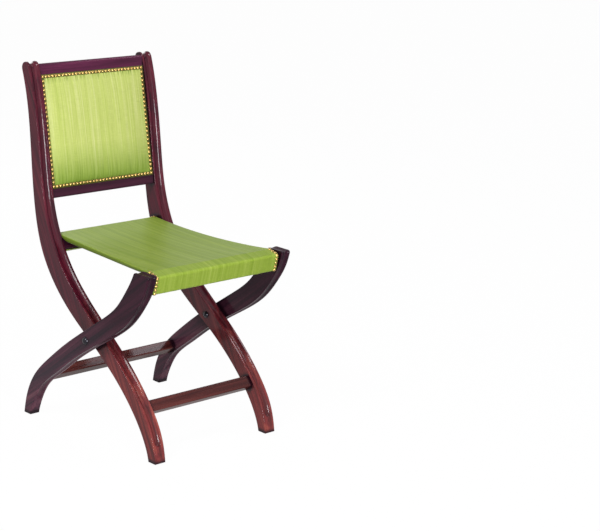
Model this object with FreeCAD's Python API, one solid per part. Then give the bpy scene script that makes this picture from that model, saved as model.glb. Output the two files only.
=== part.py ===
import FreeCAD, Part
import math
import os

os.makedirs("parts", exist_ok=True)
V = FreeCAD.Vector

# Overall sizes in millimetres. Y runs from the front to the back, Z runs up.
overall_height = 930.0
frame_width = 464.0
frame_depth = 518.0
leg_depth = 57.0
short_thickness = 28.5
long_thickness = 33.0
member_gap = 4.0
pivot_share = 0.285

# Centre lines of the two curved members, foot first: depth from the pivot as a share of
# frame_depth, height as a share of overall_height, width as a share of leg_depth.
long_line_share = (
    (-0.456, -0.013, 0.48), (-0.414, 0.065, 0.63), (-0.326, 0.134, 0.69), (-0.173, 0.215, 0.74),
    (0.0, pivot_share, 0.82), (0.180, 0.354, 0.95), (0.292, 0.409, 1.0), (0.405, 0.495, 0.99),
    (0.473, 0.602, 0.80), (0.510, 0.742, 0.67), (0.542, 0.871, 0.57), (0.594, 0.983, 0.56),
)
short_line_share = (
    (0.498, -0.013, 0.49), (0.466, 0.054, 0.60), (0.410, 0.108, 0.67), (0.282, 0.172, 0.78),
    (0.144, 0.231, 0.81), (0.0, pivot_share, 0.84), (-0.154, 0.339, 0.91), (-0.282, 0.393, 0.96),
    (-0.359, 0.446, 1.0), (-0.407, 0.489, 0.99), (-0.4315, 0.5226, 0.93), (-0.444, 0.543, 0.89),
)
arm_height_share = 0.5226
arm_front_round = 6.0
arm_back_round = 8.0

# Hollow moulding between two flat fillets along the front edge of each member.
hollow_width_share = 0.66
long_hollow_share = 0.17
short_hollow_share = 0.125
stop_height = 52.0
arris_round = 1.4

# Joinery of the wooden rails.
joint_gap = 0.1
tenon_share = 0.6
tenon_reach_share = 0.5
mortise_end_gap = 1.0

# Back: crest rail, lower rail, board, upholstery.
panel_bottom_share = 0.6515
panel_top_share = 0.9645
panel_recess = 3.5
crest_height = 29.0
lower_rail_height = 24.0
back_rail_depth = 24.0
back_rail_lap = 12.0
crest_round_share = 0.3
rail_round = 2.5
board_thickness = 12.0
board_side_gap = 0.4
cover_edge_thickness = 2.2
cloth_thickness = 1.2
cloth_gap = 0.2
back_crown = 9.0
outside_cover_thickness = 1.4
outside_nail_steps_up = 23
outside_nail_steps_across = 29

# Seat: two rails with a sling over them.
front_rail_top_share = 0.5096
front_rail_inset = 9.5
front_rail_height = 44.0
front_rail_depth = 34.0
front_rail_lean = 13.5
rear_rail_mid_share = 0.4907
rear_rail_inset = 5.0
rear_rail_height = 44.0
rear_rail_depth = 30.0
seat_rail_round = 4.0
sling_thickness = 2.4
sling_gap = 0.35
sling_side_gap = 2.5
sling_sag = 6.0
sling_waist = 10.0
sag_steps = 6

# Stretchers, set square to the legs.
stretcher_share = 0.1295
stretcher_width = 31.0
stretcher_depth = 26.0
stretcher_round = 3.0

# Brass nails.
nail_head = 9.4
nail_rise = 2.8
nail_shank = 1.6
nail_shank_length = 7.0
nail_hole_gap = 0.15
nail_edge_inset = 5.6
back_nail_steps_up = 25
back_nail_steps_across = 30
seat_nails_on_top = 3
seat_nails_on_face = 4
seat_nail_pitch = 10.4
corner_nail_drop = 1.5

# Pivot bolts.
bolt_shank = 10.0
bolt_head = 20.0
bolt_head_rise = 7.0
nut_head = 17.0
nut_rise = 7.0
nut_wall_share = 0.5
running_fit = 0.06
body_gap = 0.35
washer_size = 24.0

half_width = frame_width / 2
long_outer = half_width - short_thickness - member_gap
long_inner = long_outer - long_thickness
short_inner = half_width - short_thickness
pivot = V(0, 0, pivot_share * overall_height)
arm_height = arm_height_share * overall_height
stretcher_height = stretcher_share * overall_height
across = V(1, 0, 0)
beyond = 4 * overall_height


def back_of(up):
    """Unit vector square to up in the side view, pointing to the back."""
    return V(0, up.z, -up.y)


def interpolated(points, first, last):
    curve = Part.BSplineCurve()
    curve.interpolate(Points=points, InitialTangent=first, FinalTangent=last, Scale=False)
    return curve


def member_curves(line_share):
    """Spine, front edge and back edge of a curved member in the side view."""
    spine_points = [V(0, a * frame_depth, b * overall_height) for a, b, c in line_share]
    spine = Part.BSplineCurve()
    spine.interpolate(Points=spine_points)
    front, back, tangents = [], [], []
    for point, station in zip(spine_points, line_share):
        tangent = spine.tangent(spine.parameter(point))[0]
        half = back_of(tangent) * (station[2] * leg_depth / 2)
        front.append(point - half)
        back.append(point + half)
        tangents.append(tangent)
    ends = tangents[0], tangents[-1]
    return spine, interpolated(front, *ends), interpolated(back, *ends), spine_points, tangents


def at_height(curve, height):
    """Parameter of the curve where it reaches the height; the curve only rises."""
    low, high = curve.FirstParameter, curve.LastParameter
    for step in range(60):
        middle = (low + high) / 2
        if curve.value(middle).z < height:
            low = middle
        else:
            high = middle
    return (low + high) / 2


def edge_at(curve, height):
    place = at_height(curve, height)
    return curve.value(place), curve.tangent(place)[0]


def above_floor(shape):
    box = Part.makeBox(beyond, beyond, beyond, V(-beyond / 2, -beyond / 2, 0))
    return shape.common(box)


def side_edges(shape, planes, lowest):
    """Edges that lie on one of the given X planes and are above the floor."""
    picked = []
    for edge in shape.Edges:
        box = edge.BoundBox
        flat = any(abs(box.XMin - x) < joint_gap and abs(box.XMax - x) < joint_gap for x in planes)
        if flat and box.ZMax > lowest:
            picked.append(edge)
    return picked


def arm_bend(front):
    """Parameter of the front edge where the arm's front round begins."""
    low, high = front.FirstParameter, front.LastParameter
    for step in range(60):
        middle = (low + high) / 2
        centre = front.value(middle) + back_of(front.tangent(middle)[0]) * arm_front_round
        if centre.z < arm_height - arm_front_round:
            low = middle
        else:
            high = middle
    return (low + high) / 2


def hollow_cutter(front, spine_end, end_tangent, end_width, thickness, start_height, round_end):
    """Solids that cut the hollow along the front edge of a member and over its upper end."""
    wide = hollow_width_share * thickness
    deep = (long_hollow_share if round_end else short_hollow_share) * thickness
    radius = (wide / 2) ** 2 / (2 * deep) + deep / 2
    away = radius - deep
    begin = at_height(front, start_height)
    finish = front.LastParameter if round_end else arm_bend(front)
    steps = 24
    path_points = []
    for k in range(steps + 1):
        place = begin + (finish - begin) * k / steps
        path_points.append(front.value(place) - back_of(front.tangent(place)[0]) * away)
    first, final = front.tangent(begin)[0], front.tangent(finish)[0]
    path = interpolated(path_points, first, final)
    start, stop = path_points[0], path_points[-1]
    edges = [path.toShape()]
    if round_end:
        reach = end_width / 2 + away
        side = back_of(end_tangent)
        top = spine_end + end_tangent * reach
        behind = spine_end + side * reach
        edges.append(Part.Arc(stop, top, behind).toShape())
        last = behind - end_tangent * (end_width / 2)
        edges.append(Part.makeLine(behind, last))
    else:
        reach = arm_front_round + away
        bend = front.value(finish) + back_of(final) * arm_front_round
        halfway = (V(0, 0, 1) - back_of(final)).normalize()
        top = bend + V(0, 0, reach)
        edges.append(Part.Arc(stop, bend + halfway * reach, top).toShape())
        edges.append(Part.makeLine(top, top + V(0, 2 * leg_depth, 0)))
    sweep = Part.BRepOffsetAPI.MakePipeShell(Part.Wire(edges))
    sweep.setBiNormalMode(across)
    sweep.add(Part.Wire([Part.makeCircle(radius, start, first)]))
    sweep.build()
    sweep.makeSolid()
    cutters = [sweep.shape(), Part.makeSphere(radius, start)]
    if round_end:
        cutters.append(Part.makeSphere(radius, last))
    return cutters


def arm_top(solid, thickness):
    """Level top at the arm's height, with both of its corners rounded."""
    box = Part.makeBox(beyond, beyond, arm_height + beyond, V(-beyond / 2, -beyond / 2, -beyond))
    solid = solid.common(box)
    corners = [
        e for e in solid.Edges
        if abs(e.BoundBox.XLength - thickness) < joint_gap and abs(e.CenterOfMass.z - arm_height) < joint_gap
    ]
    corners.sort(key=lambda e: e.CenterOfMass.y)
    solid = solid.makeFillet(arm_front_round, corners[:1])
    corners = [
        e for e in solid.Edges
        if abs(e.BoundBox.XLength - thickness) < joint_gap and abs(e.CenterOfMass.z - arm_height) < joint_gap
    ]
    corners.sort(key=lambda e: e.CenterOfMass.y)
    return solid.makeFillet(arm_back_round, corners[-1:])


def curved_member(line_share, thickness, round_end):
    """One curved member standing on the plane x = 0, with its curves for placing rails."""
    spine, front, back, points, tangents = member_curves(line_share)
    end, tangent = points[-1], tangents[-1]
    width = line_share[-1][2] * leg_depth
    front_end, back_end = front.EndPoint, back.EndPoint
    if round_end:
        crown = Part.Arc(front_end, end + tangent * (width / 2), back_end).toShape()
    else:
        crown = Part.makeLine(front_end, back_end)
    sole = Part.makeLine(back.StartPoint, front.StartPoint)
    outline = Part.Wire(Part.__sortEdges__([front.toShape(), crown, back.toShape(), sole]))
    solid = above_floor(Part.Face(outline).extrude(across * thickness))
    if not round_end:
        solid = arm_top(solid, thickness)
    solid = solid.makeFillet(arris_round, side_edges(solid, (0, thickness), arris_round))
    for cutter in hollow_cutter(front, end, tangent, width, thickness, stop_height, round_end):
        cutter.translate(across * (thickness / 2))
        solid = solid.cut(cutter)
    return solid, spine, front, back


def bar(start, length, origin, up, low, high, near, far, radius):
    """Bar along X: its section runs from low to high along up and from near to far behind origin."""
    side = back_of(up)
    corners = [(low, near), (high, near), (high, far), (low, far)]
    points = [origin + up * h + side * s + across * start for h, s in corners]
    solid = Part.Face(Part.makePolygon(points + points[:1])).extrude(across * length)
    if radius > 0:
        long_edges = [e for e in solid.Edges if abs(abs(e.tangentAt(e.FirstParameter).x) - 1) < joint_gap]
        solid = solid.makeFillet(radius, long_edges)
    return solid


def tenons(face, reach, origin, up, low, high, near, far, grow):
    """Both tenons of a rail that meets members whose inner faces are at x = face."""
    tall = (high - low) * (1 - tenon_share) / 2 - grow
    deep = (far - near) * (1 - tenon_share) / 2 - grow
    section = (low + tall, high - tall, near + deep, far - deep)
    out = []
    for side in (-1, 1):
        start = min(side * (face - seat_rail_round), side * (face + reach + (grow > 0) * mortise_end_gap))
        length = reach + seat_rail_round + (grow > 0) * mortise_end_gap
        out.append(bar(start, length, origin, up, *section, 0))
    return out


def fuse_all(first, others):
    for other in others:
        first = first.fuse(other)
    return first.removeSplitter()


def cut_all(shape, tools):
    for tool in tools:
        shape = shape.cut(tool)
    return shape


def rail(face, member_thickness, origin, up, low, high, near, far, radius):
    """Rail with a tenon at each end, and the mortise tools for the members."""
    reach = tenon_reach_share * member_thickness
    body = bar(-face + joint_gap, 2 * (face - joint_gap), origin, up, low, high, near, far, radius)
    section = (origin, up, low, high, near, far)
    solid = fuse_all(body, tenons(face, reach, *section, 0))
    return solid, tenons(face, reach, *section, joint_gap)


def nail():
    """One nail with its head's base on the origin, pointing down."""
    ball = ((nail_head / 2) ** 2 + nail_rise ** 2) / (2 * nail_rise)
    low = math.degrees(math.asin((ball - nail_rise) / ball))
    cap = Part.makeSphere(ball, V(0, 0, nail_rise - ball), V(0, 0, 1), low, 90, 360)
    shank = Part.makeCylinder(nail_shank / 2, nail_shank_length + nail_rise / 2, V(0, 0, -nail_shank_length))
    return cap.fuse(shank)


def nails_at(places):
    """A group of nails and the tool that drills their holes."""
    solids, holes = [], []
    for point, outward in places:
        turn = FreeCAD.Rotation(V(0, 0, 1), outward)
        one = pattern_nail.copy()
        one.Placement = FreeCAD.Placement(point, turn)
        solids.append(one)
        depth = nail_shank_length + mortise_end_gap
        hole = Part.makeCylinder(nail_shank / 2 + nail_hole_gap, depth + nail_rise, point - outward * depth, outward)
        holes.append(hole)
    return Part.makeCompound(solids), Part.makeCompound(holes)


def spaced(first, last, steps):
    """Evenly spaced positions from first to last."""
    return [first + (last - first) * k / steps for k in range(steps + 1)]


def border(half_x, low, high, steps_across, steps_up):
    """Evenly spaced places around a rectangle, as (x, v) pairs."""
    columns = spaced(low, high, steps_up)
    rows = spaced(-half_x, half_x, steps_across)
    places = [(x, v) for v in columns for x in (-half_x, half_x)]
    return places + [(x, v) for x in rows[1:-1] for v in (low, high)]


def crown_face(half_x, low, high, rise, lift, origin, up):
    """Softly domed face over a rectangle: flat along its edges' lines and highest in its middle."""
    side = back_of(up)
    bulge = (0, 2, 0, 2, 0)
    surface = Part.BezierSurface()
    surface.increase(4, 4)
    for i, across_share in enumerate(bulge):
        for j, up_share in enumerate(bulge):
            x = -half_x + 2 * half_x * i / 4
            v = low + (high - low) * j / 4
            out = lift + rise * across_share * up_share
            surface.setPole(i + 1, j + 1, across * x + origin + up * v - side * out)
    return surface.toShape()


def crown_block(half_x, low, high, rise, lift, origin, up):
    """Solid between the domed face and the plane through origin."""
    side = back_of(up)
    block = crown_face(half_x, low, high, rise, lift, origin, up).extrude(side * (lift + leg_depth))
    keep = bar(-half_x - leg_depth, 2 * (half_x + leg_depth), origin, up,
               low - leg_depth, high + leg_depth, -leg_depth, 0, 0)
    return block.common(keep)


def dome(base, size, rise, centre, outward):
    """Domed cap standing on the plane through centre."""
    ball = ((size / 2) ** 2 + rise ** 2) / (2 * rise)
    low = math.degrees(math.asin(max(-1.0, min(1.0, (ball - rise + base) / ball))))
    cap = Part.makeSphere(ball, centre + outward * (rise - ball), outward, low, 90, 360)
    rim = Part.makeCylinder(size / 2, base, centre, outward)
    return cap.fuse(rim) if base > 0 else cap


pattern_nail = nail()

# Curved members: long ones carry the back, short ones carry the front of the seat.
long_solid, long_spine, long_front, long_back = curved_member(long_line_share, long_thickness, True)
short_solid, short_spine, short_front, short_back = curved_member(short_line_share, short_thickness, False)


def pair(solid, outer, thickness):
    """The member of the left side and its mirror image of the right side."""
    left = solid.copy()
    left.translate(across * -outer)
    right = left.mirror(V(0, 0, 0), across)
    return {"left": left, "right": right}


posts = pair(long_solid, long_outer, long_thickness)
legs = pair(short_solid, half_width, short_thickness)

# Back plane: it runs behind the front edges of the posts from the panel's bottom to its top.
bottom_edge = edge_at(long_front, panel_bottom_share * overall_height)[0]
top_edge = edge_at(long_front, panel_top_share * overall_height)[0]
panel_length = (top_edge - bottom_edge).Length
back_up = (top_edge - bottom_edge) * (1 / panel_length)
back_side = back_of(back_up)
back_origin = bottom_edge + back_side * (panel_recess + cover_edge_thickness)
rail_front = -cover_edge_thickness
rail_back = rail_front + back_rail_depth
panel_half = long_inner - board_side_gap

crest_rail, crest_mortises = rail(
    long_inner, long_thickness, back_origin, back_up, panel_length - back_rail_lap,
    panel_length + crest_height, rail_front, rail_back, 0)
crest_top = [
    e for e in crest_rail.Edges
    if abs(abs(e.tangentAt(e.FirstParameter).x) - 1) < joint_gap and e.Length > long_inner
    and (e.CenterOfMass - back_origin).dot(back_up) > panel_length + crest_height - joint_gap
]
crest_rail = crest_rail.makeFillet(crest_round_share * back_rail_depth, crest_top)
lower_back_rail, lower_mortises = rail(
    long_inner, long_thickness, back_origin, back_up, -lower_rail_height, back_rail_lap,
    rail_front, rail_back, rail_round)
rebate = bar(-long_inner, 2 * long_inner, back_origin, back_up, -joint_gap, panel_length + joint_gap,
             -leg_depth, board_thickness + joint_gap, 0)
crest_rail = crest_rail.cut(rebate)
lower_back_rail = lower_back_rail.cut(rebate)

# Upholstery of the back.
back_board = bar(-panel_half, 2 * panel_half, back_origin, back_up, 0, panel_length, 0, board_thickness, 0)
pad_margin = 2 * nail_edge_inset
pad_half = panel_half - pad_margin
pad_low, pad_high = pad_margin, panel_length - pad_margin
cavity_lift = cover_edge_thickness - cloth_thickness
back_pad = crown_block(pad_half - cloth_gap, pad_low + cloth_gap, pad_high - cloth_gap,
                       back_crown - cloth_gap, cavity_lift - cloth_gap, back_origin, back_up)
cover_plate = bar(-panel_half, 2 * panel_half, back_origin, back_up, 0, panel_length,
                  -cover_edge_thickness, 0, 0)
cover_crown = crown_block(pad_half, pad_low, pad_high, back_crown, cover_edge_thickness, back_origin, back_up)
cover_cavity = crown_block(pad_half, pad_low, pad_high, back_crown, cavity_lift, back_origin, back_up)
back_cover = cover_plate.fuse(cover_crown).cut(cover_cavity)
nail_reach = panel_half - nail_edge_inset
panel_spots = border(nail_reach, nail_edge_inset, panel_length - nail_edge_inset,
                     back_nail_steps_across, back_nail_steps_up)
nail_base = back_origin - back_side * cover_edge_thickness
back_nails, back_holes = nails_at(
    [(nail_base + across * x + back_up * v, back_side * -1) for x, v in panel_spots])
back_cover = back_cover.cut(back_holes)
back_board = back_board.cut(back_holes)
outside_low, outside_high = back_rail_lap + board_side_gap, panel_length - back_rail_lap - board_side_gap
outside_far = board_thickness + outside_cover_thickness
back_outside_cover = bar(-panel_half, 2 * panel_half, back_origin, back_up, outside_low, outside_high,
                         board_thickness, outside_far, 0)
outside_base = back_origin + back_side * outside_far
outside_spots = border(nail_reach, outside_low + nail_edge_inset, outside_high - nail_edge_inset,
                       outside_nail_steps_across, outside_nail_steps_up)
back_outside_nails, outside_holes = nails_at(
    [(outside_base + across * x + back_up * v, back_side) for x, v in outside_spots])
back_outside_cover = back_outside_cover.cut(outside_holes)
back_board = back_board.cut(outside_holes)

# Seat rails.
rear_point, rear_up = edge_at(long_back, rear_rail_mid_share * overall_height)
rear_section = (rear_point, rear_up, -rear_rail_height / 2, rear_rail_height / 2,
                -rear_rail_inset - rear_rail_depth, -rear_rail_inset)
rear_seat_rail, rear_seat_mortises = rail(long_inner, long_thickness, *rear_section, seat_rail_round)
lean = math.radians(front_rail_lean)
front_up = V(0, -math.sin(lean), math.cos(lean))
front_point = edge_at(short_front, front_rail_top_share * overall_height)[0]
front_section = (front_point, front_up, -front_rail_height, 0,
                 front_rail_inset, front_rail_inset + front_rail_depth)
front_seat_rail, front_seat_mortises = rail(short_inner, short_thickness, *front_section, seat_rail_round)

# Stretchers.
front_low, front_low_up = edge_at(long_spine, stretcher_height)
rear_low, rear_low_up = edge_at(short_spine, stretcher_height)
stretcher_section = (-stretcher_width / 2, stretcher_width / 2, -stretcher_depth / 2, stretcher_depth / 2)
front_stretcher, front_low_mortises = rail(
    long_inner, long_thickness, front_low, front_low_up, *stretcher_section, stretcher_round)
rear_stretcher, rear_low_mortises = rail(
    short_inner, short_thickness, rear_low, rear_low_up, *stretcher_section, stretcher_round)


def grown(section, by):
    origin, up, low, high, near, far = section
    return origin, up, low - by, high + by, near - by, far + by


def wrap(section, half, open_at_back):
    """Cloth around three sides of a seat rail; the side towards the middle of the seat stays open."""
    origin, up, low, high, near, far = section
    outer = sling_gap + sling_thickness
    radius = seat_rail_round
    sleeve = bar(-half, 2 * half, *grown(section, outer), radius + outer)
    sleeve = sleeve.cut(bar(-half, 2 * half, *grown(section, sling_gap), radius + sling_gap))
    if open_at_back:
        gap = (low - outer, high - radius, far - radius, far + leg_depth)
    else:
        gap = (low - outer, high - radius, near - leg_depth, near + radius)
    return sleeve.cut(bar(-half, 2 * half, origin, up, *gap, 0))


# Sling: over the front rail, across with a little sag, over the rear rail.
sling_rear_half = long_inner - sling_side_gap
sling_front_half = short_inner - sling_side_gap
sling_reach = seat_rail_round + sling_gap + sling_thickness
front_side, rear_side = back_of(front_up), back_of(rear_up)
front_bend = front_point + front_side * (front_rail_inset + front_rail_depth - seat_rail_round)
front_bend -= front_up * seat_rail_round
rear_bend = rear_point + rear_up * (rear_rail_height / 2 - seat_rail_round)
rear_bend -= rear_side * (rear_rail_inset + rear_rail_depth - seat_rail_round)
front_crest = front_bend + V(0, 0, sling_reach)
rear_crest = rear_bend + V(0, 0, sling_reach)
upper_points = []
for k in range(sag_steps + 1):
    share = k / sag_steps
    drop = 4 * sling_sag * share * (1 - share)
    upper_points.append(front_crest + (rear_crest - front_crest) * share - V(0, 0, drop))
upper = Part.BSplineCurve()
upper.interpolate(Points=upper_points)
lower = Part.BSplineCurve()
lower.interpolate(Points=[p - V(0, 0, sling_thickness) for p in upper_points])
span = Part.Face(Part.Wire([
    upper.toShape(), Part.makeLine(upper.EndPoint, lower.EndPoint),
    lower.toShape(), Part.makeLine(lower.StartPoint, upper.StartPoint),
])).extrude(across * 2 * sling_front_half)
span.translate(across * -sling_front_half)
sling_parts = [wrap(front_section, sling_front_half, True), wrap(rear_section, sling_front_half, False)]
seat_sling = fuse_all(span, sling_parts)
for section in (front_section, rear_section):
    seat_sling = seat_sling.cut(bar(-sling_front_half, 2 * sling_front_half, *grown(section, sling_gap),
                                    seat_rail_round + sling_gap))
clear_of_posts = edge_at(long_front, rear_crest.z)[0].y - sling_side_gap
front_line = front_crest.y
plan_edges = []
for side in (-1, 1):
    front_place = V(side * sling_front_half, front_line, 0)
    rear_place = V(side * sling_rear_half, clear_of_posts, 0)
    waist_place = (front_place + rear_place) * 0.5 - across * (side * sling_waist)
    plan_edges += [
        Part.makeLine(front_place - V(0, beyond, 0), front_place),
        Part.Arc(front_place, waist_place, rear_place).toShape(),
        Part.makeLine(rear_place, rear_place + V(0, beyond, 0)),
    ]
for y, half in ((front_line - beyond, sling_front_half), (clear_of_posts + beyond, sling_rear_half)):
    plan_edges.append(Part.makeLine(V(-half, y, 0), V(half, y, 0)))
plan_block = Part.Face(Part.Wire(Part.__sortEdges__(plan_edges))).extrude(V(0, 0, beyond))
seat_sling = seat_sling.common(plan_block)


def cloth_spot(section, outward, travel):
    """Point on the cloth around a seat rail and its outward direction. Travel is measured along
    the cloth from the middle of the rail's outer top corner: over the top, or down if negative."""
    origin, up, low, high, near, far = section
    side = back_of(up)
    face = far if outward.dot(side) > 0 else near
    corner = origin + up * (high - seat_rail_round) + side * face - outward * seat_rail_round
    half_bend = sling_reach * math.pi / 4
    if abs(travel) <= half_bend:
        turn = math.pi / 4 + travel / sling_reach
        way = outward * math.cos(turn) + up * math.sin(turn)
        return corner + way * sling_reach, way
    flat_way, run, length = (up, -outward, far - near) if travel > 0 else (outward, -up, high - low)
    past = abs(travel) - half_bend
    flat = min(past, length - 2 * seat_rail_round)
    turn = (past - flat) / sling_reach
    way = flat_way * math.cos(turn) + run * math.sin(turn)
    return corner + run * flat + way * sling_reach, way


def seat_nails(section, half, outward):
    """A row of nails at each side edge of the cloth, over the top of a rail and down its face."""
    counts = range(-seat_nails_on_face, seat_nails_on_top + 1)
    spots = [cloth_spot(section, outward, seat_nail_pitch * k - corner_nail_drop) for k in counts]
    inset = half - nail_edge_inset
    return nails_at([(point + across * x, way) for point, way in spots for x in (-inset, inset)])


front_seat_nails, front_holes = seat_nails(front_section, sling_front_half, -front_side)
rear_seat_nails, rear_holes = seat_nails(rear_section, sling_rear_half, rear_side)
front_seat_rail = front_seat_rail.cut(front_holes)
rear_seat_rail = rear_seat_rail.cut(rear_holes)
seat_sling = seat_sling.cut(front_holes).cut(rear_holes)


def pivot_set(side):
    """Bolt, nut and washer of one side; side is -1 for the left and 1 for the right."""
    outward = across * side
    outer_face = pivot + outward * half_width
    inner_face = pivot + outward * long_inner
    shank_end = pivot + outward * (long_inner - body_gap - nut_rise * nut_wall_share)
    shank = Part.makeCylinder(bolt_shank / 2, (outer_face - shank_end).Length, shank_end, outward)
    bolt = dome(0, bolt_head, bolt_head_rise, outer_face, outward).fuse(shank).removeSplitter()
    nut = dome(0, nut_head, nut_rise, inner_face - outward * body_gap, outward * -1)
    pocket = Part.makeCylinder(bolt_shank / 2 + running_fit, nut_rise * nut_wall_share + body_gap + running_fit,
                               inner_face, outward * -1)
    nut = nut.cut(pocket)
    washer_thick = member_gap - body_gap
    face = pivot + outward * long_outer
    washer = Part.makeCylinder(washer_size / 2, washer_thick, face, outward)
    washer = washer.cut(Part.makeCylinder(bolt_shank / 2 + running_fit, member_gap, face, outward))
    return bolt, nut, washer


bore = Part.makeCylinder(bolt_shank / 2 + running_fit, 2 * frame_width, pivot - across * frame_width, across)
pivots = {"left": pivot_set(-1), "right": pivot_set(1)}
long_mortises = crest_mortises + lower_mortises + rear_seat_mortises + front_low_mortises
short_mortises = front_seat_mortises + rear_low_mortises
nodes = {}
for name in ("left", "right"):
    nodes["back_post_" + name] = cut_all(posts[name], long_mortises + [bore])
    nodes["cross_leg_" + name] = cut_all(legs[name], short_mortises + [bore])
    nodes["pivot_bolt_" + name], nodes["pivot_nut_" + name], nodes["pivot_washer_" + name] = pivots[name]
nodes["crest_rail"] = crest_rail
nodes["lower_back_rail"] = lower_back_rail
nodes["rear_seat_rail"] = rear_seat_rail
nodes["front_seat_rail"] = front_seat_rail
nodes["front_stretcher"] = front_stretcher
nodes["rear_stretcher"] = rear_stretcher
nodes["back_board"] = back_board
nodes["back_pad"] = back_pad
nodes["back_cover"] = back_cover
nodes["back_nails"] = back_nails
nodes["back_outside_cover"] = back_outside_cover
nodes["back_outside_nails"] = back_outside_nails
nodes["seat_sling"] = seat_sling
nodes["front_seat_nails"] = front_seat_nails
nodes["rear_seat_nails"] = rear_seat_nails

# The origin goes to the middle of the footprint of the whole chair.
everything = Part.makeCompound(list(nodes.values())).optimalBoundingBox(False, False)
shift = V(0, -(everything.YMin + everything.YMax) / 2, -everything.ZMin)
for name, shape in nodes.items():
    shape.translate(shift)
    shape.exportStep("parts/" + name + ".step")
centre = pivot + shift
print("pivot", round(centre.y, 3), round(centre.z, 3))
for label, curves in (("front feet", (long_front, long_back)), ("rear feet", (short_front, short_back))):
    spots = [edge_at(curve, 0)[0].y for curve in curves]
    print(label, round(sum(spots) / 2 + shift.y, 3))
print("box", everything)
for name, shape in nodes.items():
    print(name, len(shape.Solids), shape.isValid(), round(shape.Volume), shape.optimalBoundingBox(False, False))
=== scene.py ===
import bpy
import math
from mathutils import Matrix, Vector, noise


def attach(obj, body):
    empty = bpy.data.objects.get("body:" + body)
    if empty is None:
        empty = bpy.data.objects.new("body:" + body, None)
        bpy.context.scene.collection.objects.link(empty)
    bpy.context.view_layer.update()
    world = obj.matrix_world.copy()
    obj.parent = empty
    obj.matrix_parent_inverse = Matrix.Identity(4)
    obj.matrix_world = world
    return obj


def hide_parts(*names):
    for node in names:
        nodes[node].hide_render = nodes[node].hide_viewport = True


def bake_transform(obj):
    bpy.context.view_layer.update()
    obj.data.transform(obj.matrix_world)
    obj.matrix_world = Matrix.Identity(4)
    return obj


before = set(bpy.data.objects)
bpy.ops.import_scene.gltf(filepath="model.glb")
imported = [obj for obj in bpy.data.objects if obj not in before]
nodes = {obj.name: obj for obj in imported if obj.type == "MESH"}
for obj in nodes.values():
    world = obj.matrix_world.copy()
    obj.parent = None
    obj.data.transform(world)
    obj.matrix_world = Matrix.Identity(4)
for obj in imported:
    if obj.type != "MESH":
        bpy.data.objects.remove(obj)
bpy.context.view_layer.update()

# Camera: place in the chair's frame, turn in degrees, and lens for the 36 mm sensor width.
camera_place = (-2.7893, -3.5073, 1.6132)
camera_turn = (75.186, -2.081, -42.962)
sensor_width = 36.0
lens_share = 1775.0 / 600.0

# Stage.
floor_size = 40.0
floor_grey = 0.28
floor_seen_grey = 0.9
floor_white_share = 0.98
world_colour = (0.88, 0.84, 1.0)
world_strength = 0.26

# Lamps: name, place, target, size, power in watts and colour.
lamps = (
    ("key", (-2.3, -0.7, 2.8), (0, 0, 0.4), (1.0, 1.2), 84, (1.0, 1.0, 1.0)),
    ("front", (-0.9, -3.2, 2.4), (0, 0, 0.6), (2.0, 1.6), 9, (1.0, 1.0, 1.0)),
    ("low", (-1.2, -3.35, 0.68), (0, 0, 0.6), (0.8, 1.3), 136, (0.97, 0.96, 1.0)),
    ("side", (2.0, -0.8, 2.6), (0, 0, 0.5), (0.5, 0.9), 16, (0.95, 0.93, 1.0)),
    ("back", (1.0, 3.4, 2.1), (0, 0, 0.5), (1.8, 1.6), 38, (1.0, 1.0, 1.0)),
)

# Colours are linear. A wood or silk has three, from dark to light.
member_colours = (0.026, 0.003, 0.008), (0.066, 0.005, 0.014), (0.114, 0.013, 0.024)
# Painted shade: the cross legs' colours are a darker copy of the same wood as the posts.
leg_shaded_colours = (0.008, 0.002, 0.006), (0.021, 0.003, 0.010), (0.040, 0.007, 0.018)
rail_colours = (0.030, 0.004, 0.015), (0.070, 0.010, 0.034), (0.112, 0.020, 0.052)
stretcher_colours = (0.034, 0.007, 0.007), (0.064, 0.014, 0.012), (0.105, 0.026, 0.022)
board_colours = (0.20, 0.12, 0.06), (0.36, 0.24, 0.13), (0.5, 0.36, 0.2)
# Painted light and shade: the seat and the back are one silk; the seat's colours are a darker, shaded copy
# and the back's a lighter, lit copy.
seat_silk_shaded_colours = (0.154, 0.234, 0.021), (0.212, 0.295, 0.035), (0.280, 0.362, 0.065)
back_silk_lit_colours = (0.318, 0.388, 0.082), (0.39, 0.445, 0.120), (0.48, 0.515, 0.203)
brass_colours = (0.26, 0.165, 0.042), (0.43, 0.295, 0.090), (0.62, 0.46, 0.19)
# Painted contact shade and tarnish at the nail rims.
brass_rim_tarnish_and_shade = (0.020, 0.015, 0.006)
steel_colours = (0.006, 0.006, 0.009), (0.020, 0.019, 0.026)
# Painted shade in the wood's hollows and between parts.
recess_shade_colour = (0.008, 0.002, 0.005)
# Painted shade at the bottom of the back's silk.
low_silk_shade_colour = (0.12, 0.21, 0.015)
# Painted shade in the puckered creases near the nails.
crease_shade_colour = (0.10, 0.17, 0.015)
# Painted shade on the nailed edge of the back's silk.
nailed_edge_shade_colour = (0.05, 0.05, 0.012)

# The grain follows a member on the whole: turn in degrees that brings it to X.
member_grain = (-62.0, 0.0, -90.0)
leg_grain = (-145.0, 0.0, -90.0)
rail_grain = (0.0, 0.0, 0.0)
board_grain = (0.0, 90.0, 0.0)
# Low down the posts' wood turns lighter and more orange, the legs' wood has a painted bluish-grey
# reflection, and the lower rail of the back is darker than the crest rail: a factor for the colour, and the
# height where it sets in, over the length of the fade.
member_low = ((2.3, 4.7, 1.7), 0.35)
# Painted reflection: the legs' factor lightens them to a bluish grey low down.
leg_low_painted_reflection = ((3.8, 8.6, 4.3), 0.36)
rail_low = ((0.40, 0.40, 0.40), 0.86)
low_fade = 0.2
polish_member = 0.30
polish_leg = 0.16
polish_rail = 0.20

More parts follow.
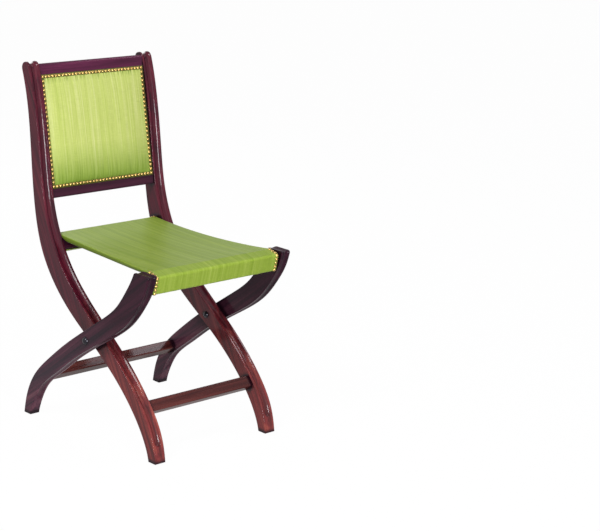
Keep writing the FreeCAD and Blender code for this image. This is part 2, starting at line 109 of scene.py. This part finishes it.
# Lengths from here on are in metres. A side view point is (depth, height).
wood_edge_round = 0.0010
wood_shade_reach = 0.014
nail_rim_shade_reach = 0.004
seat_front_origin = (-0.284895, 0.473928)
seat_front_lean = 103.5
seat_front_section = (-0.044, 0.0, 0.0095, 0.0435)
seat_rear_origin = (0.201733, 0.456351)
seat_rear_lean = 65.986
seat_rear_section = (-0.022, 0.022, -0.035, -0.005)
rail_round = 0.004
cloth_reach = 0.00275
seat_cloth = 0.0012
seat_sag = 0.006
seat_waist = 0.010
seat_front_half = 0.201
seat_rear_half = 0.164
post_front_depth = 0.1550
hem_front = 0.008
hem_rear = 0.0135
hem_on_rail = 0.0018
hem_fade = 0.045
hem_corner = 0.004
hem_tuck = 0.0012
seat_step = 0.0045
seat_columns = 100
hem_corner_steps = 4
hem_side_steps = 3
seat_long_wave = 0.0007
seat_fine_wave = 0.00022
seat_wave_fade = 0.05
seat_pull = 0.0004
seat_pull_reach = 0.03

back_origin = (0.200576, 0.604876)
back_lean = math.degrees(math.atan2(0.9839, 0.1788))
panel_half = 0.1661
panel_length = 0.29586
board_thickness = 0.012
cover_edge = 0.0022
crown_rise = 0.0095
crown_margin = 0.0105
crown_low_power = 0.7
gather_height = 0.0011
gather_start = 0.0025
gather_reach = 0.013
gather_side_share = 0.75
long_fold_height = 0.00055
long_fold_start = 0.006
long_fold_reach = 0.06
panel_corner = 0.012
panel_ripple = 0.00035
panel_ripple_fade = 0.02
panel_swell = 0.0006
nail_inset = 0.0056
nail_columns = 30
nail_rows = 25
panel_steps = 150
outside_low = 0.0124
outside_high = 0.28346
outside_cloth = 0.0012
outside_gap = 0.0002
outside_belly = 0.0016
outside_belly_fade = 0.03
outside_wave = 0.0003
outside_pull = 0.0003
outside_pull_reach = 0.012
silk_border_line = 0.001
silk_border_fade = 0.0008
silk_low_shade_reach = 0.11
silk_low_crease_shade = 0.060
silk_high_crease_shade = 0.016


def new_object(name, mesh):
    """Link a mesh object into the scene."""
    made = bpy.data.objects.new(name, mesh)
    bpy.context.scene.collection.objects.link(made)
    return made


def add_camera():
    data = bpy.data.cameras.new("camera")
    data.sensor_width = sensor_width
    data.lens = lens_share * sensor_width
    camera = new_object("camera", data)
    camera.location = camera_place
    camera.rotation_euler = [math.radians(a) for a in camera_turn]
    bpy.context.scene.camera = camera


def add_lamp(name, place, target, size, power, colour):
    data = bpy.data.lights.new(name, "AREA")
    data.shape = "RECTANGLE"
    data.size, data.size_y = size
    data.energy = power
    data.color = colour
    light = new_object(name, data)
    light.location = place
    light.rotation_euler = (Vector(target) - Vector(place)).to_track_quat("-Z", "Y").to_euler()


class Nodes:
    """A material with short calls for the nodes used here."""

    def __init__(self, name):
        self.material = bpy.data.materials.new(name)
        self.material.use_nodes = True
        self.tree = self.material.node_tree
        self.shader = self.tree.nodes["Principled BSDF"]
        self.output = self.tree.nodes["Material Output"]

    def add(self, kind, **inputs):
        made = self.tree.nodes.new(kind)
        for key, value in inputs.items():
            self.put(made.inputs[key.replace("_", " ")], value)
        return made

    def put(self, socket, value):
        if isinstance(value, bpy.types.NodeSocket):
            self.tree.links.new(value, socket)
        else:
            socket.default_value = value

    def stretched(self, source, scale, turn=(0.0, 0.0, 0.0)):
        """Coordinates turned by degrees about each axis and scaled along each axis."""
        rotated = self.add("ShaderNodeMapping", Vector=source, Rotation=[math.radians(a) for a in turn])
        return self.add("ShaderNodeMapping", Vector=rotated.outputs[0], Scale=scale).outputs[0]

    def noise(self, vector, scale, detail=4.0, roughness=0.5, distortion=0.0):
        made = self.add("ShaderNodeTexNoise", Vector=vector, Scale=scale, Detail=detail,
                        Roughness=roughness, Distortion=distortion)
        return made.outputs[0]

    def ramp(self, value, *stops):
        """Colour ramp; each stop is (position, colour)."""
        made = self.add("ShaderNodeValToRGB")
        self.put(made.inputs[0], value)
        elements = made.color_ramp.elements
        while len(elements) < len(stops):
            elements.new(0.5)
        for element, (position, colour) in zip(elements, stops):
            element.position = position
            element.color = (*colour, 1.0)
        return made.outputs[0]

    def levels(self, value, low, high, first=0.0, last=1.0):
        made = self.add("ShaderNodeMapRange")
        for socket, number in zip(made.inputs[:5], (value, low, high, first, last)):
            self.put(socket, number)
        return made.outputs[0]

    def mix(self, share, first, second, blend="MIX"):
        made = self.add("ShaderNodeMix")
        made.data_type = "RGBA"
        made.blend_type = blend
        for socket, value in zip((made.inputs[0], made.inputs[6], made.inputs[7]), (share, first, second)):
            self.put(socket, value)
        return made.outputs[2]

    def math(self, operation, first, second=0.0):
        made = self.add("ShaderNodeMath")
        made.operation = operation
        self.put(made.inputs[0], first)
        self.put(made.inputs[1], second)
        return made.outputs[0]

    def bump(self, height, strength, distance, normal=None):
        made = self.add("ShaderNodeBump", Height=height, Strength=strength, Distance=distance)
        if normal is not None:
            self.put(made.inputs["Normal"], normal)
        return made.outputs[0]

    def open_sky(self, distance, samples):
        """Share of the directions that meet nothing within a distance."""
        made = self.add("ShaderNodeAmbientOcclusion", Distance=distance)
        made.samples = samples
        return made.outputs["AO"]

    def set(self, **inputs):
        for key, value in inputs.items():
            self.put(self.shader.inputs[key.replace("_", " ")], value)
        return self.material


def polished_wood(name, grain_turn, colours, low=None, polish=polish_rail):
    """Stained and polished wood whose grain runs along X after the turn, in degrees.
    Low gives the factor for its colour low down, and the height where that sets in."""
    n = Nodes(name)
    place = n.add("ShaderNodeTexCoord").outputs["Object"]
    bands = n.noise(n.stretched(place, (2.5, 75.0, 75.0), grain_turn), 1.0, 4.0, 0.6, 0.4)
    fibre = n.noise(n.stretched(place, (9.0, 520.0, 520.0), grain_turn), 1.0, 5.0, 0.65)
    pores = n.noise(n.stretched(place, (45.0, 1500.0, 1500.0), grain_turn), 1.0, 2.0, 0.5)
    wide = n.ramp(bands, *zip((0.32, 0.52, 0.72), colours))
    fine = n.levels(fibre, 0.32, 0.70, 0.74, 1.20)
    colour = n.mix(1.0, wide, fine, "MULTIPLY")
    colour = n.mix(n.levels(pores, 0.60, 0.72, 0.0, 0.5), colour, (*colours[0], 1.0))
    if low:
        factor, low_height = low
        height = n.add("ShaderNodeSeparateXYZ", Vector=place).outputs["Z"]
        lower = n.levels(height, low_height, low_height - low_fade)
        colour = n.mix(lower, colour, n.mix(1.0, colour, (*factor, 1.0), "MULTIPLY"))
    # Painted shade: darker where the surface is closed in, in the hollows of the mouldings and between
    # parts.
    recess_shade = n.levels(n.open_sky(wood_shade_reach, 16), 0.98, 0.74, 0.0, 0.92)
    colour = n.mix(recess_shade, colour, (*recess_shade_colour, 1.0))
    rough = n.levels(fibre, 0.3, 0.7, 0.30, 0.40)
    bevel = n.add("ShaderNodeBevel", Radius=wood_edge_round)
    bevel.samples = 16
    soft_edges = bevel.outputs[0]
    grained = n.bump(n.math("ADD", fibre, n.math("MULTIPLY", pores, -0.6)), 0.08, 0.0003, soft_edges)
    return n.set(Base_Color=colour, Roughness=rough, Normal=grained, Coat_Weight=polish, Coat_Roughness=0.11,
                 Coat_Normal=soft_edges, Specular_IOR_Level=0.05)


def silk(name, colours, rough, sheen, streak=0.5, border=None):
    """Plain woven silk with thick and thin threads along the cloth's length; needs a UV map in metres.
    Border gives the lines, in metres, beyond which the nailed edge lies in shade: across, low and high."""
    deep = colours[0]
    n = Nodes(name)
    place = n.add("ShaderNodeTexCoord").outputs["UV"]
    slubs = n.noise(n.stretched(place, (560.0, 3.2, 1.0)), 1.0, 4.0, 0.6)
    broad = n.noise(n.stretched(place, (95.0, 1.8, 1.0)), 1.0, 3.0, 0.5)
    cloudy = n.noise(n.stretched(place, (9.0, 7.0, 1.0)), 1.0, 2.0)
    thread = n.noise(n.stretched(place, (1900.0, 40.0, 1.0)), 1.0, 2.0)
    weft = n.noise(n.stretched(place, (40.0, 1700.0, 1.0)), 1.0, 2.0)
    tone = n.math("ADD", n.math("MULTIPLY", slubs, streak), n.math("MULTIPLY", broad, 1.0 - streak))
    colour = n.ramp(tone, *zip((0.36, 0.50, 0.64), colours))
    colour = n.mix(n.levels(cloudy, 0.35, 0.75, 0.0, 0.25), colour, (*deep, 1.0))
    colour = n.mix(1.0, colour, n.levels(n.math("ADD", thread, weft), 0.7, 1.3, 0.86, 1.12), "MULTIPLY")
    # Painted shade: the cloth turned down at the sides, facing sideways, is darker.
    facing = n.add("ShaderNodeNewGeometry").outputs["Normal"]
    sideways = n.math("ABSOLUTE", n.add("ShaderNodeSeparateXYZ", Vector=facing).outputs["X"])
    side_shade_colour = [0.55 * part for part in deep] + [1.0]
    colour = n.mix(n.levels(sideways, 0.55, 0.95, 0.0, 0.75), colour, side_shade_colour)
    if border:
        across, low, high = border
        u, v = n.add("ShaderNodeSeparateXYZ", Vector=place).outputs[:2]
        edges = [n.levels(n.math("ABSOLUTE", u), across, across + silk_border_fade),
                 n.levels(v, low, low - silk_border_fade), n.levels(v, high, high + silk_border_fade)]
        shade = n.math("MAXIMUM", n.math("MAXIMUM", edges[0], edges[1]), edges[2])
        # Painted shade: the lowest part of the panel is darker and greener.
        colour = n.mix(n.levels(v, silk_low_shade_reach, 0.0, 0.0, 0.85), colour, (*low_silk_shade_colour, 1.0))
        # Painted shade in the puckered creases near the rows of nails.
        pulled = n.noise(n.stretched(place, (430.0, 9.0, 1.0)), 1.0, 3.0, 0.5, 0.3)
        near_nails = n.math("MAXIMUM", n.levels(v, low + silk_low_crease_shade, low),
                            n.levels(v, high - silk_high_crease_shade, high))
        crease_shade = n.math("MULTIPLY", n.levels(pulled, 0.46, 0.62, 0.0, 0.8), near_nails)
        colour = n.mix(crease_shade, colour, (*crease_shade_colour, 1.0))
        # Painted shade on the nailed edge, between and under the nails.
        colour = n.mix(n.math("MULTIPLY", shade, 0.9), colour, (*nailed_edge_shade_colour, 1.0))
    height = n.math("ADD", slubs, n.math("MULTIPLY", n.math("ADD", thread, weft), 0.2))
    woven = n.bump(height, 0.22, 0.0006)
    return n.set(Base_Color=colour, Roughness=n.levels(slubs, 0.35, 0.65, rough - 0.06, rough + 0.08),
                 Normal=woven, Sheen_Weight=sheen, Sheen_Roughness=0.35, Specular_IOR_Level=0.09)


def tarnished_brass_with_rim_shade(name):
    """Brass nail heads, dark towards their rims where they meet the cloth: tarnish there, and painted
    contact shade.
    """
    n = Nodes(name)
    place = n.add("ShaderNodeTexCoord").outputs["Object"]
    spots = n.noise(place, 900.0, 3.0)
    colour = n.ramp(spots, *zip((0.3, 0.55, 0.75), brass_colours))
    # Painted contact shade, with tarnish: the rim darkens where the head meets the cloth.
    colour = n.mix(n.levels(n.open_sky(nail_rim_shade_reach, 8), 0.66, 0.98), (*brass_rim_tarnish_and_shade, 1.0), colour)
    return n.set(Base_Color=colour, Metallic=1.0, Roughness=n.levels(spots, 0.3, 0.7, 0.22, 0.38),
                 Normal=n.bump(spots, 0.12, 0.0003))


def dark_steel(name):
    """Dark steel of the pivots."""
    n = Nodes(name)
    place = n.add("ShaderNodeTexCoord").outputs["Object"]
    worn = n.noise(place, 260.0, 4.0, 0.6)
    colour = n.ramp(worn, *zip((0.3, 0.7), steel_colours))
    return n.set(Base_Color=colour, Metallic=0.6, Roughness=n.levels(worn, 0.3, 0.7, 0.16, 0.28),
                 Normal=n.bump(worn, 0.08, 0.0004))


def side_way(degrees):
    """Unit direction in the side view, as (depth, height)."""
    return Vector((math.cos(math.radians(degrees)), math.sin(math.radians(degrees))))


def rail_spots(origin, up_angle, section):
    """The centres of a seat rail's four rounded corners: low and high, near and far."""
    low, high, near, far = section
    up, side = side_way(up_angle), side_way(up_angle - 90)
    spots = {}
    for vertical, h in (("low", low + rail_round), ("high", high - rail_round)):
        for level, s in (("near", near + rail_round), ("far", far - rail_round)):
            spots[vertical + " " + level] = Vector(origin) + up * h + side * s
    return spots


def turned(centre, first, last, steps):
    """Cloth around a rail's corner, as (point, normal) from one direction to another, in degrees."""
    out = []
    for k in range(steps + 1):
        way = side_way(first + (last - first) * k / steps)
        out.append((centre + way * (rail_round + cloth_reach), way))
    return out


def run(start, end, step, sag=0.0):
    """Stations strictly between two (point, normal) ends, with an even spacing and a sag."""
    (a, na), (b, nb) = start, end
    count = max(1, round((b - a).length / step))
    out = []
    for k in range(1, count):
        share = k / count
        drop = Vector((0, 4 * sag * share * (1 - share)))
        out.append((a.lerp(b, share) - drop, na.lerp(nb, share).normalized()))
    return out


def seat_path():
    """The sling's outer face in the side view, from under the front rail to under the rear rail."""
    front = rail_spots(seat_front_origin, seat_front_lean, seat_front_section)
    rear = rail_spots(seat_rear_origin, seat_rear_lean, seat_rear_section)
    up, back = seat_front_lean, seat_rear_lean
    pieces = [
        (turned(front["low far"], up + 180, up + 180, 1)[:1], 0.0),
        (turned(front["low near"], up + 180, up + 90, 6), 0.0),
        (turned(front["high near"], up + 90, up, 6), 0.0),
        (turned(front["high far"], up, 90, 3), seat_sag),
        (turned(rear["high near"], 90, back, 3), 0.0),
        (turned(rear["high far"], back, back - 90, 6), 0.0),
        (turned(rear["low far"], back - 90, back - 180, 6), 0.0),
        (turned(rear["low near"], back - 180, back - 180, 1)[:1], 0.0),
    ]
    path = []
    for k, (piece, sag) in enumerate(pieces):
        path += piece
        if k + 1 < len(pieces):
            path += run(piece[-1], pieces[k + 1][0][0], seat_step, sag)
    return path, pieces[3][0][-1][0], pieces[4][0][0][0]


def smooth(value):
    """Value limited to 0 to 1, with a soft start and end."""
    value = min(1.0, max(0.0, value))
    return value * value * (3 - 2 * value)


def share_of(value, low, high):
    """Share of the way from low to high, limited to 0 to 1."""
    return min(1.0, max(0.0, (value - low) / (high - low)))


def grid_mesh(name, rows, uvs):
    """A mesh from rows of points, with a UV map in metres."""
    columns = len(rows[0])
    points = [p for row in rows for p in row]
    faces = []
    for r in range(len(rows) - 1):
        for c in range(columns - 1):
            k = r * columns + c
            faces.append((k, k + 1, k + columns + 1, k + columns))
    mesh = bpy.data.meshes.new(name)
    mesh.from_pydata(points, [], faces)
    flat = [uv for row in uvs for uv in row]
    layer = mesh.uv_layers.new(name="cloth")
    for loop in mesh.loops:
        layer.data[loop.index].uv = flat[loop.vertex_index]
    mesh.shade_smooth()
    return mesh


def hem_offsets(depth):
    """Offsets outward and down of the cloth's turned side edge, from the flat part outward."""
    corner = min(hem_corner, depth)
    out = []
    for k in range(1, hem_corner_steps + 1):
        angle = math.pi / 2 * k / hem_corner_steps
        out.append((corner * math.sin(angle), corner * (1 - math.cos(angle))))
    for k in range(1, hem_side_steps + 1):
        share = k / hem_side_steps
        out.append((corner - hem_tuck * share ** 2, corner + (depth - corner) * share))
    return corner, out


def seat_cover():
    """The sling: cloth around both rails, stretched between them, its side edges turned down."""
    path, front_crest, rear_crest = seat_path()
    rows, uvs = [], []
    travel = 0.0
    previous = path[0][0]
    for point, normal in path:
        travel += (point - previous).length
        previous = point
        y, z = point
        narrow = share_of(y, front_crest.x, post_front_depth)
        half = seat_front_half + (seat_rear_half - seat_front_half) * narrow
        half -= 4 * seat_waist * narrow * (1 - narrow)
        between = min(smooth((y - front_crest.x) / hem_fade), smooth((rear_crest.x - y) / hem_fade))
        full = hem_front + (hem_rear - hem_front) * share_of(y, front_crest.x, rear_crest.x)
        corner, offsets = hem_offsets(hem_on_rail + (full - hem_on_rail) * between)
        flat_half = half - corner
        row, uv = [], []
        side = [(flat_half + out, down) for out, down in offsets]
        middle = [(-flat_half + 2 * flat_half * k / seat_columns, 0.0) for k in range(seat_columns + 1)]
        for x, down in [(-x, down) for x, down in reversed(side)] + middle + side:
            ripple = seat_ripple(x, travel, y, front_crest.x, rear_crest.x)
            place = Vector((x, y, z)) + Vector((0, normal.x, normal.y)) * (ripple - down)
            row.append(place)
            uv.append((x + math.copysign(down, x), travel))
        rows.append(row)
        uvs.append(uv)
    mesh = grid_mesh("seat_cover", rows, uvs)
    cover = new_object("seat_cover", mesh)
    thicken(cover, seat_cloth)
    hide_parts("seat_sling")
    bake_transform(cover)
    return cover


def seat_ripple(x, travel, y, front, rear):
    """Small unevenness of the stretched cloth: long soft waves, pulled folds near its front."""
    long_waves = noise.noise(Vector((x * 26, y * 2.2, 3.1))) * seat_long_wave
    fine_waves = noise.noise(Vector((x * 95, y * 5.0, 8.4))) * seat_fine_wave
    free = smooth((y - front) / seat_wave_fade) * smooth((rear - y) / seat_wave_fade)
    near_front = math.exp(-abs(y - front) / seat_pull_reach)
    pulled = near_front * noise.noise(Vector((x * 160, travel * 6, 1.7))) * seat_pull
    return long_waves * free + fine_waves + pulled


def thicken(piece, thickness):
    """Give a sheet its thickness behind its outer face, and apply it."""
    solid = piece.modifiers.new("thickness", "SOLIDIFY")
    solid.thickness = thickness
    solid.offset = -1.0
    bake(piece)


def bake(piece):
    """Apply every modifier to the mesh."""
    graph = bpy.context.evaluated_depsgraph_get()
    made = bpy.data.meshes.new_from_object(piece.evaluated_get(graph))
    piece.modifiers.clear()
    old = piece.data
    piece.data = made
    bpy.data.meshes.remove(old)


def panel_point(x, v, out):
    """Point of the back panel: x across, v up from its lower edge, out in front of the board."""
    up, side = side_way(back_lean), side_way(back_lean - 90)
    spot = Vector(back_origin) + up * v - side * out
    return Vector((x, spot.x, spot.y))


def nail_spacing():
    return 2 * (panel_half - nail_inset) / nail_columns, (panel_length - 2 * nail_inset) / nail_rows


def crown(share):
    """Rise of the stuffing across the panel: 0 at both ends and 1 in the middle."""
    share = min(1.0, max(0.0, share))
    return 8 * share * (1 - share) * ((1 - share) ** 2 + share ** 2)


def hump(away, start, reach):
    """0 at a row of nails, rising over the start and dying out over the reach."""
    return (1 - math.exp(-away / start)) * math.exp(-away / reach)


def gathers(along, away, pitch, seed):
    """Folds of cloth pulled to a row of nails: short ones between nails, a few long ones."""
    drift = noise.noise(Vector((along * 30, seed, 0.3))) * 0.25
    wave = 0.5 - 0.5 * math.cos(2 * math.pi * (along / pitch + drift))
    strength = 0.6 + 0.8 * noise.noise(Vector((along * 45, seed, 5.2)))
    short = wave * strength * hump(away, gather_start, gather_reach) * gather_height
    ridges = 1 - abs(noise.noise(Vector((along * 150, away * 4, seed + 9.0)))) * 2
    long_fold = ridges * hump(away, long_fold_start, long_fold_reach) * long_fold_height
    return short + long_fold


def panel_rise(x, v):
    """Height of the padded cloth above the board at a place of the panel."""
    side_pitch, row_pitch = nail_spacing()
    reach = panel_half - nail_inset
    low, high = nail_inset, panel_length - nail_inset
    half = panel_half - crown_margin
    across_share = (x + half) / (2 * half)
    up_share = (v - crown_margin) / (panel_length - 2 * crown_margin)
    rise = cover_edge + crown_rise * crown(across_share) * crown(max(up_share, 0.0) ** crown_low_power)
    inside = reach - abs(x)
    above, below = v - low, high - v
    if inside > 0 and above > 0 and below > 0:
        at_low = gathers(x + reach, above, side_pitch, 1.0)
        at_high = gathers(x + reach, below, side_pitch, 2.0)
        at_side = gathers(v - low, inside, row_pitch, 3.0 + math.copysign(0.5, x)) * gather_side_share
        corner_fade = min(1.0, inside / panel_corner)
        row_fade = min(1.0, min(above, below) / panel_corner)
        rise += (at_low + at_high) * corner_fade + at_side * row_fade
        ripple = panel_ripple * min(1.0, inside / panel_ripple_fade)
        rise += noise.noise(Vector((x * 75, v * 5, 2.2))) * ripple
        swell = panel_swell * crown(across_share) * crown(up_share)
        rise += noise.noise(Vector((x * 14, v * 9, 6.6))) * swell
    return rise


def back_cushion():
    """The padded front of the back: nailed cloth over stuffing, closed at the board."""
    count = panel_steps
    xs = [-panel_half + 2 * panel_half * k / count for k in range(count + 1)]
    vs = [panel_length * k / count for k in range(count + 1)]
    rows = [[panel_point(x, v, panel_rise(x, v)) for x in xs] for v in vs]
    uvs = [[(x, v) for x in xs] for v in vs]
    mesh = grid_mesh("back_cushion", rows, uvs)
    cushion = new_object("back_cushion", mesh)
    close_behind(cushion, 0.0)
    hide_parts("back_cover", "back_pad")
    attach(cushion, "back_frame")
    return cushion


def close_behind(piece, out):
    """Close a panel's grid with sides and a flat back in the plane at the given height."""
    mesh = piece.data
    columns = panel_steps + 1
    last = panel_steps * columns
    ring = list(range(columns))
    ring += [k * columns + columns - 1 for k in range(1, columns)]
    ring += [last + k for k in range(columns - 2, -1, -1)]
    ring += [k * columns for k in range(columns - 2, 0, -1)]
    points = [v.co.copy() for v in mesh.vertices]
    faces = [tuple(p.vertices) for p in mesh.polygons]
    uvs = {}
    for loop in mesh.loops:
        uvs[loop.vertex_index] = tuple(mesh.uv_layers[0].data[loop.index].uv)
    up, side = side_way(back_lean), side_way(back_lean - 90)
    first = len(points)
    for k, vertex in enumerate(ring):
        point = points[vertex]
        height = (Vector(back_origin) - Vector((point.y, point.z))).dot(side)
        moved = Vector((point.y, point.z)) + side * (height - out)
        points.append(Vector((point.x, moved.x, moved.y)))
        uvs[first + k] = uvs[vertex]
    for k, vertex in enumerate(ring):
        following = (k + 1) % len(ring)
        faces.append((vertex, first + k, first + following, ring[following]))
    faces.append(tuple(first + k for k in reversed(range(len(ring)))))
    made = bpy.data.meshes.new(piece.name)
    made.from_pydata(points, [], faces)
    layer = made.uv_layers.new(name="cloth")
    for loop in made.loops:
        layer.data[loop.index].uv = uvs[loop.vertex_index]
    made.shade_smooth()
    made.polygons[-1].use_smooth = False
    piece.data = made


def outside_cover():
    """The plain cloth on the outside of the back, nailed around its edge."""
    count = panel_steps
    xs = [-panel_half + 2 * panel_half * k / count for k in range(count + 1)]
    vs = [outside_low + (outside_high - outside_low) * k / count for k in range(count + 1)]
    outer = board_thickness + outside_cloth + outside_gap
    reach = panel_half - nail_inset
    rows = []
    for v in vs:
        row = []
        for x in xs:
            away = min(reach - abs(x), v - outside_low - nail_inset, outside_high - nail_inset - v)
            loose = smooth(away / outside_belly_fade)
            wave = noise.noise(Vector((x * 60, v * 4, 4.4))) * outside_wave
            near_row = math.exp(-max(away, 0) / outside_pull_reach)
            pulled = near_row * noise.noise(Vector((x * 110, v * 110, 7.7))) * outside_pull
            row.append(panel_point(x, v, -(outer + (outside_belly + wave) * loose + max(pulled, 0.0))))
        rows.append(row[::-1])
    uvs = [[(x, v) for x in reversed(xs)] for v in vs]
    mesh = grid_mesh("back_outside_sheet", rows, uvs)
    sheet = new_object("back_outside_sheet", mesh)
    thicken(sheet, outside_cloth)
    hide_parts("back_outside_cover")
    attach(sheet, "back_frame")
    return sheet


def dress(piece, material):
    """Give an object one material in every slot."""
    if not piece.material_slots:
        piece.data.materials.append(material)
    for slot in piece.material_slots:
        slot.material = material


def dress_frame():
    """Materials for the CAD nodes that stay."""
    member_wood = polished_wood("member_wood", member_grain, member_colours, member_low, polish_member)
    leg_wood = polished_wood("leg_wood", leg_grain, leg_shaded_colours, leg_low_painted_reflection, polish_leg)
    rail_wood = polished_wood("rail_wood", rail_grain, rail_colours, rail_low)
    stretcher_wood = polished_wood("stretcher_wood", rail_grain, stretcher_colours)
    board = polished_wood("board_wood", board_grain, board_colours)
    brass = tarnished_brass_with_rim_shade("nail_brass")
    steel = dark_steel("bolt_steel")
    choices = {
        "back_post": member_wood, "cross_leg": leg_wood, "crest_rail": rail_wood,
        "lower_back_rail": rail_wood, "rear_seat_rail": rail_wood, "front_seat_rail": rail_wood,
        "front_stretcher": stretcher_wood, "rear_stretcher": stretcher_wood, "back_board": board,
        "back_nails": brass, "back_outside_nails": brass, "front_seat_nails": brass,
        "rear_seat_nails": brass, "pivot": steel,
    }
    for name, node in nodes.items():
        for start, chosen in choices.items():
            if name.startswith(start):
                dress(node, chosen)


def plain_sight(tree):
    """1 where the camera sees a surface, straight or in gloss or glass, and 0 for other light."""
    rays = tree.nodes.new("ShaderNodeLightPath")
    seen = rays.outputs["Is Camera Ray"]
    for name in ("Is Glossy Ray", "Is Transmission Ray"):
        larger = tree.nodes.new("ShaderNodeMath")
        larger.operation = "MAXIMUM"
        tree.links.new(seen, larger.inputs[0])
        tree.links.new(rays.outputs[name], larger.inputs[1])
        seen = larger.outputs[0]
    return seen


def white_stage():
    """World and floor: plain light on the object, white for the camera, with a faint shadow."""
    world = bpy.data.worlds.new("studio")
    bpy.context.scene.world = world
    world.use_nodes = True
    tree = world.node_tree
    around = tree.nodes["Background"]
    around.inputs["Color"].default_value = (*world_colour, 1.0)
    around.inputs["Strength"].default_value = world_strength
    behind = tree.nodes.new("ShaderNodeBackground")
    behind.inputs["Color"].default_value = (1.0, 1.0, 1.0, 1.0)
    behind.inputs["Strength"].default_value = 1.0
    both = tree.nodes.new("ShaderNodeMixShader")
    tree.links.new(plain_sight(tree), both.inputs[0])
    tree.links.new(around.outputs[0], both.inputs[1])
    tree.links.new(behind.outputs[0], both.inputs[2])
    tree.links.new(both.outputs[0], tree.nodes["World Output"].inputs["Surface"])
    mesh = bpy.data.meshes.new("floor")
    edge = floor_size / 2
    corners = [(-edge, -edge, 0), (edge, -edge, 0), (edge, edge, 0), (-edge, edge, 0)]
    mesh.from_pydata(corners, [], [(0, 1, 2, 3)])
    floor = new_object("floor", mesh)
    n = Nodes("floor")
    white = n.add("ShaderNodeEmission", Color=(1.0, 1.0, 1.0, 1.0), Strength=1.0)
    seen = plain_sight(n.tree)
    grey = n.levels(seen, 0.0, 1.0, floor_grey, floor_seen_grey)
    n.set(Base_Color=grey, Roughness=0.9, Specular_IOR_Level=0.0)
    share = n.math("MULTIPLY", seen, floor_white_share)
    both = n.add("ShaderNodeMixShader")
    n.put(both.inputs[0], share)
    n.put(both.inputs[1], n.shader.outputs[0])
    n.put(both.inputs[2], white.outputs[0])
    n.put(n.output.inputs["Surface"], both.outputs[0])
    dress(floor, n.material)


add_camera()
scene = bpy.context.scene
scene.view_settings.view_transform = "Standard"
white_stage()
for lamp in lamps:
    add_lamp(*lamp)

dress_frame()
seat_cloth_material = silk("seat_silk", seat_silk_shaded_colours, 0.42, 0.02)
nailed = 2 * nail_inset - silk_border_line
back_cloth_material = silk("back_silk", back_silk_lit_colours, 0.45, 0.08, 0.65,
                           (panel_half - nailed, nailed, panel_length - nailed))
dress(seat_cover(), seat_cloth_material)
dress(back_cushion(), back_cloth_material)
dress(outside_cover(), back_cloth_material)
